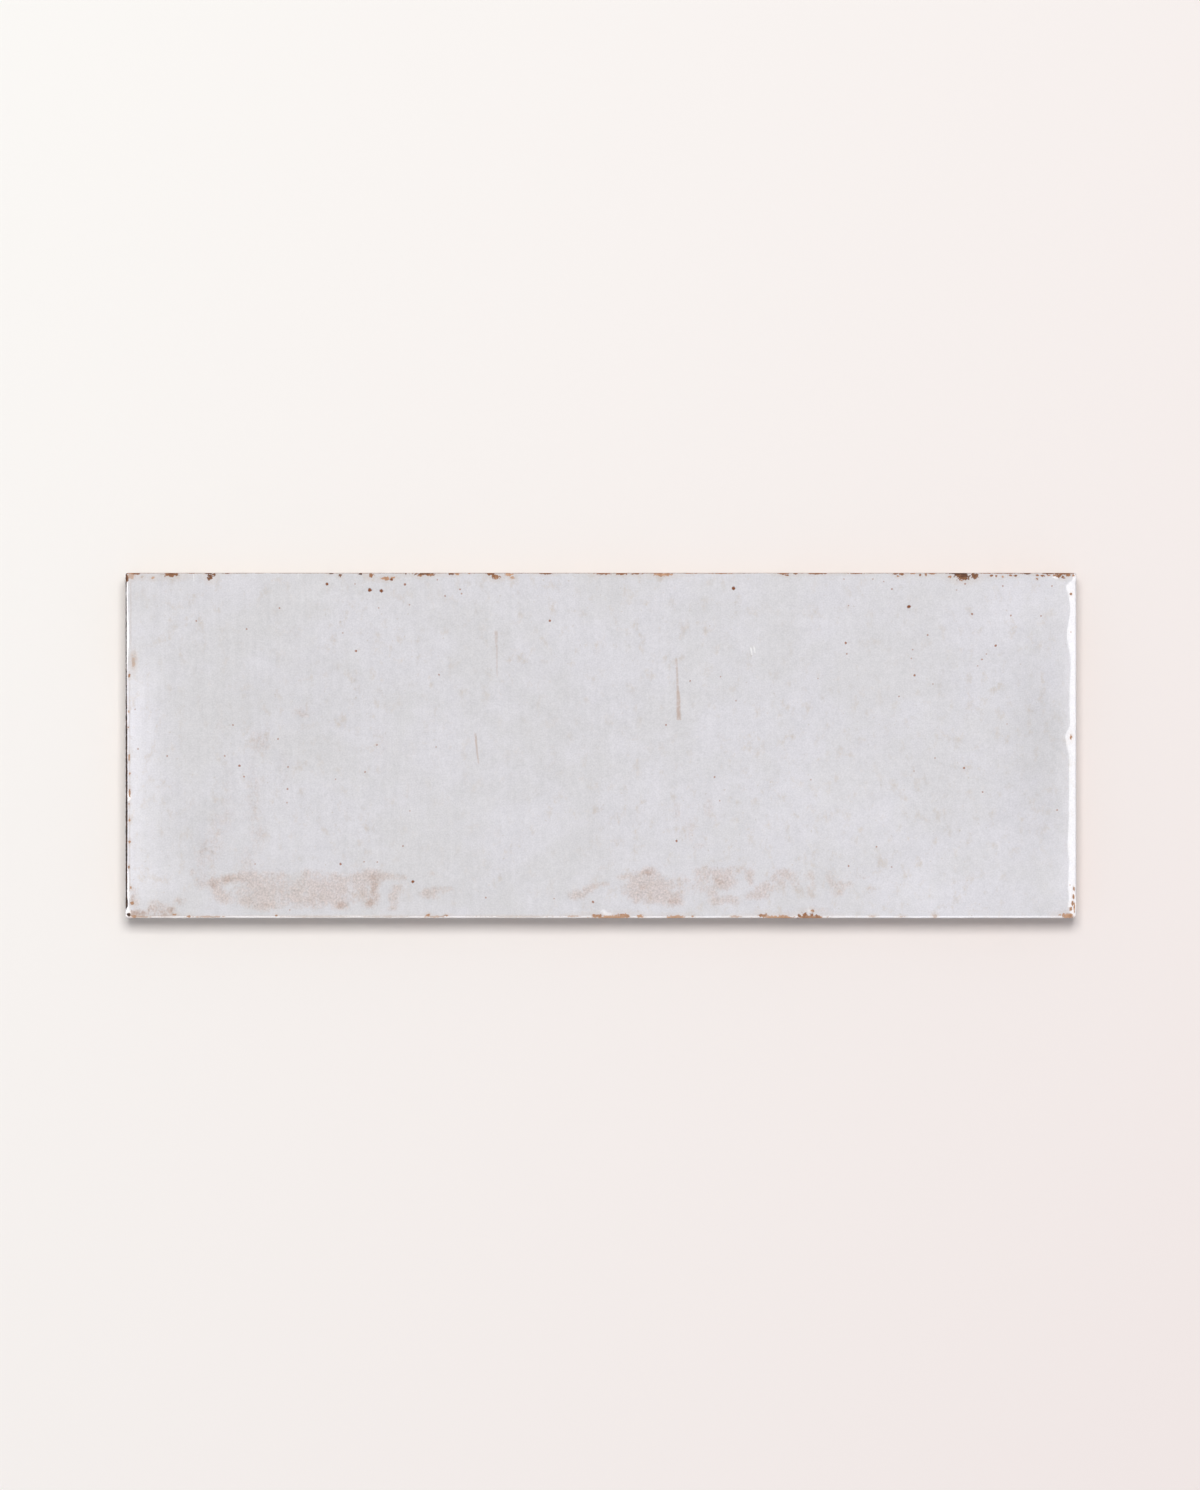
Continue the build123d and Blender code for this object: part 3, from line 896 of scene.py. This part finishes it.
def glaze_colour(finish, place):
    """Cool grey glaze: clouds, beige flecks, brush traces and grain, lighter and darker in broad places,
    partly with painted shade and sheen.
    """
    clouds = finish.noise(place, *CLOUDS).step(*CLOUD_EDGE)
    # This tone carries painted shade and painted sheen as well as the glaze's own lighter and darker places
    tone = finish.field("glaze_tone")
    along = place.part("X") / (LENGTH / 2)
    cooler = LAVENDER_RIGHT * along + LAVENDER_TONE_AND_SHEEN * tone.most(0.0)
    shade = finish.blend(GLAZE_GREY, GLAZE_LAVENDER, LAVENDER_CLOUDS * clouds + LAVENDER_LEAST + cooler)
    gathered = finish.noise(place, *GATHERING).step(*GATHER_EDGE)
    grain = finish.noise(place, *GRAIN)
    flecks = finish.noise(place.times(FLECK_STRETCH), *FLECKS).step(*FLECK_EDGE)
    flecks = flecks * (FLECK_LEAST + FLECK_GATHERED * gathered)
    shade = shade.toward(GLAZE_FLECK, flecks * (FLECK_EVEN + FLECK_GRAINY * grain))
    dots = finish.noise(place, *DOTS).step(*DOT_EDGE)
    shade = shade.toward(GLAZE_DOT, dots * (DOT_LEAST + DOT_GATHERED * gathered))
    brushed = finish.noise(place.times(BRUSH_STRETCH), *BRUSHING)
    mottle = finish.noise(place, *MOTTLE)
    blotches = finish.noise(place, *BLOTCHES)
    uneven = (BRUSH_GAIN - BRUSH_FADE * along) * (brushed - 0.5) + MOTTLE_GAIN * (mottle - 0.5)
    uneven = uneven + BLOTCH_GAIN * (blotches - 0.5) + GRAIN_GAIN * (grain - 0.5)
    return shade.scaled(1 + tone + uneven)


# Stains: how far rags, patches and grains move their rims, how soft those are, where they fade, and strength
STAIN_RAGGED = 0.6
STAIN_PATCHY = 0.8
STAIN_GRAINY = 0.9
STAIN_EDGE = (-0.05, 0.8)
STAIN_FADE = (0.02, 0.26)
STAIN_STRENGTH = 1.05


def stain_share(finish, place, kind):
    """Where and how strongly the glaze is stained: grains that gather where the stain's field is strong."""
    field = finish.field(kind)
    ragged = finish.noise(place, *STAIN_RAGS)
    grains = finish.noise(place.times(STAIN_STRETCH), *STAIN_GRAINS)
    patches = finish.noise(place, *STAIN_PATCHES)
    reach = field + STAIN_RAGGED * (ragged - 0.5) + STAIN_PATCHY * (patches - 0.5)
    reach = reach + STAIN_GRAINY * (grains - 0.5)
    return STAIN_STRENGTH * reach.step(*STAIN_EDGE) * field.step(*STAIN_FADE)


# Runs, scratches and painted glints: how far they wander, where they break and what stays there, and how soft
# they end
RUN_WANDER = 0.3
RUN_BREAK_EDGE = (0.25, 0.55)
RUN_BROKEN = 0.4
RUN_SIDE = (0.0, 0.7)
RUN_START = (0.0, 0.12)
RUN_END = (1.0, 0.93)


def run_share(finish, place, runs):
    """Where thin runs, scratches and painted glints go down the glaze."""
    wander = RUN_WANDER * (finish.noise(place, *RUN_BENDS) - 0.5)
    whole = finish.noise(place, *RUN_BREAKS).step(*RUN_BREAK_EDGE)
    x, y = place.part("X"), place.part("Y")
    total = 0.0
    for (top_px, top_py, top_half, top_share), (low_px, low_py, low_half, low_share) in runs:
        (top_x, top_y), (low_x, low_y) = on_tile(top_px, top_py), on_tile(low_px, low_py)
        down = (top_y - y) / (top_y - low_y)
        half = (top_half + (low_half - top_half) * down) / PX_PER_MM
        across = (1 - abs(x + wander - top_x - (low_x - top_x) * down) / half).step(*RUN_SIDE)
        strength = top_share + (low_share - top_share) * down
        total = across * down.step(*RUN_START) * down.step(*RUN_END) * strength + total
    return total * (RUN_BROKEN + (1 - RUN_BROKEN) * whole)


# What keeps a distance in the plan
IN_PLAN = (1.0, 1.0, 0.0)


def mark_depth(finish, place, kind):
    """How far inside the nearest mark of a kind a place lies: 1 at its middle, 0 at its rim, less outside."""
    away = place.minus(finish.field(f"{kind}_place", "Vector")).times(finish.field(f"{kind}_size", "Vector"))
    return 1 - away.times(IN_PLAN).long()


def mark_value(finish, kind, which):
    """The nearest mark's tone, which is kept with its place, or its strength, which is kept with its size."""
    return finish.field(f"{kind}_{which}", "Vector").part("Z")


# Clay: how far its tone varies, its lightness and how that varies broadly and finely, and the rubbed back
CLAY_TONE_SPREAD = 0.45
CLAY_LIGHT = 0.86
CLAY_BROAD_GAIN = 0.2
CLAY_FINE_GAIN = 0.25
RUBBED_GAIN = 0.07
RUBBED_HEIGHT = (0.3, 0.05)


def clay_colour(finish, place, tone):
    """Fired clay: buff in the body, toasted to orange, brown and near black as its tone rises."""
    shaded = tone + CLAY_TONE_SPREAD * (finish.noise(place, *CLAY_SHADES) - 0.5)
    shade = finish.node("ShaderNodeValToRGB", {"stops": CLAY_TONES}, {0: shaded}, "Color")
    fine = finish.noise(place, *CLAY_FINE)
    broad = finish.noise(place, *CLAY_BROAD)
    rubbed = RUBBED_GAIN * place.part("Z").step(*RUBBED_HEIGHT)
    return shade.scaled(CLAY_LIGHT + CLAY_BROAD_GAIN * broad + CLAY_FINE_GAIN * (fine - 0.5) + rubbed)


# Where a side counts as upright, and where bare clay, wear and specks end: how far rags and crumbs move each
# rim, and how soft it is
UPRIGHT_BELOW = 0.35
BARE_RAGS, BARE_CRUMBS, BARE_SIDE_CRUMBS = 0.16, 0.12, 0.5
BARE_EDGE = 0.04
ARRIS_RAGS = 0.9
ARRIS_FADE = (1.0, 0.25)
WEAR_RAGS, WEAR_CRUMBS = 1.1, 2.1
WEAR_EDGE = (0.0, 0.36)
SPECK_CRUMBS = 1.2
SPECK_EDGE = (-0.1, 0.45)
SPECK_DARKENS = (0.15, 0.42)

# Shares of the stains' crumbs, the darker sides, the glaze's thin rim, the halo round wear and the rust runs
STAIN_CRUMBS = 0.9
SIDE_DARKER = 0.25
THIN_RAGS, THIN_SHARE = 0.3, 0.4
THIN_EDGE = (-0.4, 0.0)
HALO_SHARE = 0.22
HALO_EDGE = (-2.2, 0.0)
RUN_STRENGTH = 0.7

# Fine relief in millimetres: peel of the glaze, sunk specks, and worn clay with its pores
PEEL_HEIGHT = 0.006
SPECK_SINK = 0.012
WORN_SINK = 0.05
PORE_HEIGHT = 0.05

# Gloss: the glaze's roughness and what clouds, stains and sides add to it, the clay's, and the clear coat
GLAZE_ROUGH, CLOUD_ROUGH, STAIN_ROUGH, SIDE_ROUGH = 0.26, 0.08, 0.1, 0.35
CLAY_ROUGH = 0.82
GLAZE_IOR = 1.45
GLAZE_SPECULAR = 0.2
COAT_ROUGH = 0.035
COAT_IOR = 1.5
SPECK_DULLS = 0.6

# No tint at all
UNTINTED = (1, 1, 1, 1)


def tile_finish():
    """The tile's one finish: gloss glaze, its stains and specks, and clay where it is worn or unglazed."""
    material = bpy.data.materials.new("fired_glaze")
    finish = Finish(material)
    place = finish.node("ShaderNodeTexCoord", {}, {}, "Object").scaled(1 / MM)

    # Where the surface is upright, bare, worn, specked or stained
    rags = finish.noise(place, *RAGS) - 0.5
    crumbs = finish.noise(place, *CRUMBS) - 0.5
    below = finish.field("below")
    upright = below.step(0.0, UPRIGHT_BELOW)
    unglazed = finish.field("bare")
    edge = unglazed + BARE_RAGS * rags + (BARE_CRUMBS + BARE_SIDE_CRUMBS * upright) * crumbs
    bare = edge.step(-BARE_EDGE, BARE_EDGE + BARE_EDGE * upright)
    on_arris = (below + ARRIS_RAGS * rags).step(*ARRIS_FADE)
    wear_depth = mark_depth(finish, place, "wear") + WEAR_RAGS * rags + WEAR_CRUMBS * crumbs
    wear = wear_depth.step(*WEAR_EDGE) * mark_value(finish, "wear", "size") * on_arris
    speck_depth = mark_depth(finish, place, "speck") + SPECK_CRUMBS * crumbs
    speck = speck_depth.step(*SPECK_EDGE) * mark_value(finish, "speck", "size")
    stain = stain_share(finish, place, "stain")
    grime = stain_share(finish, place, "grime")

    # Colour: the stained glaze first, then runs, scratches, painted glints and specks on it, and the clay
    # last
    shade = glaze_colour(finish, place)
    shade = shade.times(finish.blend(UNTINTED, STAIN_TINT, stain)).scaled(1 + STAIN_CRUMBS * stain * crumbs)
    shade = shade.times(finish.blend(UNTINTED, GRIME_TINT, grime))
    shade = shade.scaled(1 - SIDE_DARKER * upright)
    thin = (unglazed + THIN_RAGS * rags).step(*THIN_EDGE) * upright * THIN_SHARE
    halo = (wear_depth.step(*HALO_EDGE) * on_arris * HALO_SHARE).most(thin)
    shade = shade.toward(HALO_COLOUR, halo)
    shade = shade.toward(RUN_COLOUR, run_share(finish, place, RUNS) * RUN_STRENGTH * (1 - upright))
    # Pale scratches, and two painted glints
    shade = shade.toward(TICK_AND_GLINT_COLOUR, run_share(finish, place, TICKS_AND_GLINTS) * (1 - upright))
    darkened = mark_value(finish, "speck", "place").step(*SPECK_DARKENS)
    shade = shade.toward(finish.blend(SPECK_SMALL, SPECK_LARGE, darkened), speck)
    shade = shade.toward(clay_colour(finish, place, mark_value(finish, "wear", "place")), wear)
    shade = shade.toward(clay_colour(finish, place, finish.field("clay_tone")), bare)

    # Relief and gloss
    worn = bare.most(wear)
    peel = finish.noise(place, *PEEL)
    pores = finish.noise(place, *PORES)
    height = PEEL_HEIGHT * peel * (1 - worn) - SPECK_SINK * speck - WORN_SINK * worn
    height = height + PORE_HEIGHT * pores * worn
    bump = finish.node("ShaderNodeBump", {}, {"Height": height, "Distance": MM, "Strength": 1.0})
    rough = GLAZE_ROUGH + CLOUD_ROUGH * finish.noise(place, *GLOSS_CLOUDS) + STAIN_ROUGH * stain
    rough = rough + SIDE_ROUGH * upright
    sockets = {
        "Base Color": shade,
        "Roughness": rough + worn * (CLAY_ROUGH - rough),
        "Normal": bump,
        "IOR": GLAZE_IOR,
        "Specular IOR Level": GLAZE_SPECULAR,
        "Coat Weight": 1 - worn.most(speck * SPECK_DULLS).most(upright),
        "Coat Roughness": COAT_ROUGH,
        "Coat IOR": COAT_IOR,
    }
    shader = finish.node("ShaderNodeBsdfPrincipled", {}, sockets, "BSDF")
    finish.node("ShaderNodeOutputMaterial", {}, {"Surface": shader})
    return material


def seen_rays(finish):
    """1 for the rays that show the background: straight, mirrored or through glass."""
    camera = finish.node("ShaderNodeLightPath", {}, {}, "Is Camera Ray")
    glossy = finish.node("ShaderNodeLightPath", {}, {}, "Is Glossy Ray")
    through = finish.node("ShaderNodeLightPath", {}, {}, "Is Transmission Ray")
    return camera.most(glossy).most(through)


# Table: its half size, its depth under the tile, its corners, and how its shade turns across and up the frame
TABLE_REACH = 3.0
TABLE_DROP = 0.02 * MM
TABLE_CORNERS = [(-1, -1), (1, -1), (1, 1), (-1, 1)]
TABLE_TURN = 0.48
TABLE_TURN_ACROSS = 0.6
TABLE_TURN_UP = -0.36

# Room: its light at the horizon and overhead, its slightly cool tint, how bright it shows overhead and at the
# horizon, and how high up that changes
ROOM_LOW = 0.55
ROOM_HIGH = 0.33
ROOM_TINT = (0.985, 1.0, 1.045, 1)
ROOM_SEEN = 0.9
ROOM_SEEN_LOW = 0.62
ROOM_SEEN_RISE = (0.0, 0.5)

# Lamps, by place and size in metres and power in watts: the slightly warm key is plain light, and the three
# walls show in the gloss alone
KEY = ((0.035, 0.885, 3.25), (1.30, 1.00), 70.4)
KEY_TINT = (1.0, 0.993, 0.964)
WALLS = {
    "right_wall": ((0.542, 0.0, 0.719), (0.80, 0.62), 7.4),
    "left_wall": ((-0.591, 0.0, 0.705), (0.80, 0.53), 9.5),
    "front_wall": ((0.0, -0.542, 0.719), (1.00, 0.62), 8.1),
}

# Camera: its height over the face in metres, and its sensor's in millimetres
CAMERA_AWAY = 4.0
SENSOR = 36.0


def add_object(name, data):
    """A new object in the scene."""
    made = bpy.data.objects.new(name, data)
    bpy.context.scene.collection.objects.link(made)
    return made


def table():
    """The pale table, warm white at the top left of the frame and pinker at the lower right."""
    mesh = bpy.data.meshes.new("table")
    corners = [(x * TABLE_REACH, y * TABLE_REACH, -TABLE_DROP) for x, y in TABLE_CORNERS]
    mesh.from_pydata(corners, [], [(0, 1, 2, 3)])
    material = bpy.data.materials.new("pale_table")
    finish = Finish(material)
    place = finish.node("ShaderNodeTexCoord", {}, {}, "Object").scaled(PX_PER_MM / MM)
    across, up = place.part("X") / PHOTO_WIDE, place.part("Y") / PHOTO_HIGH
    turn = TABLE_TURN + TABLE_TURN_ACROSS * across + TABLE_TURN_UP * up
    shade = finish.blend(colour(*TABLE_TOP_LEFT), colour(*TABLE_LOW_RIGHT), turn)
    cloth = finish.node("ShaderNodeBsdfDiffuse", {}, {"Color": shade}, "BSDF")
    finish.node("ShaderNodeOutputMaterial", {}, {"Surface": cloth})
    mesh.materials.append(material)
    return add_object("table", mesh)


def room():
    """The soft room round the table: a dim lamp, brighter near the horizon, and pale where it shows."""
    world = bpy.data.worlds.new("room")
    bpy.context.scene.world = world
    finish = Finish(world)
    up = finish.node("ShaderNodeTexCoord", {}, {}, "Generated").part("Z").most(0.0)
    level = ROOM_LOW + (ROOM_HIGH - ROOM_LOW) * up
    lit = finish.node("ShaderNodeBackground", {}, {"Color": ROOM_TINT, "Strength": level}, "Background")
    seen = ROOM_SEEN_LOW + (ROOM_SEEN - ROOM_SEEN_LOW) * up.step(*ROOM_SEEN_RISE)
    sockets = {"Color": colour(*TABLE_TOP_LEFT), "Strength": seen}
    shown = finish.node("ShaderNodeBackground", {}, sockets, "Background")
    mixed = finish.node("ShaderNodeMixShader", {}, {"Fac": seen_rays(finish), 1: lit, 2: shown}, "Shader")
    finish.node("ShaderNodeOutputWorld", {}, {"Surface": mixed})


def softbox(name, place, size, power, mirrored):
    """A rectangular lamp that faces the tile. It shows in mirrored rays alone, or gives plain light alone."""
    data = bpy.data.lights.new(name, "AREA")
    data.shape = "RECTANGLE"
    data.size, data.size_y = size
    data.energy = power
    lamp = add_object(name, data)
    lamp.location = place
    lamp.rotation_euler = Vector(place).to_track_quat("Z", "Y").to_euler()
    lamp.visible_camera = False
    lamp.visible_glossy = mirrored
    lamp.visible_diffuse = not mirrored
    return lamp


def camera():
    """A camera straight above the tile, framed as the photograph is."""
    data = bpy.data.cameras.new("camera")
    data.sensor_fit = "VERTICAL"
    data.sensor_height = SENSOR
    data.lens = SENSOR * CAMERA_AWAY / (PHOTO_HIGH / PX_PER_MM * MM)
    made = add_object("camera", data)
    x, y = on_tile(PHOTO_WIDE / 2, PHOTO_HIGH / 2)
    made.location = (x * MM, y * MM, THICKNESS * MM + CAMERA_AWAY)
    bpy.context.scene.camera = made


camera()
tile = add_object("glazed_tile", tile_mesh())
tile.data.materials.append(tile_finish())
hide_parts("brick_tile")
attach(tile, "root")

table()
room()
softbox("key", *KEY, mirrored=False).data.color = KEY_TINT
for wall, settings in WALLS.items():
    softbox(wall, *settings, mirrored=True)
bpy.context.scene.view_settings.view_transform = "Standard"
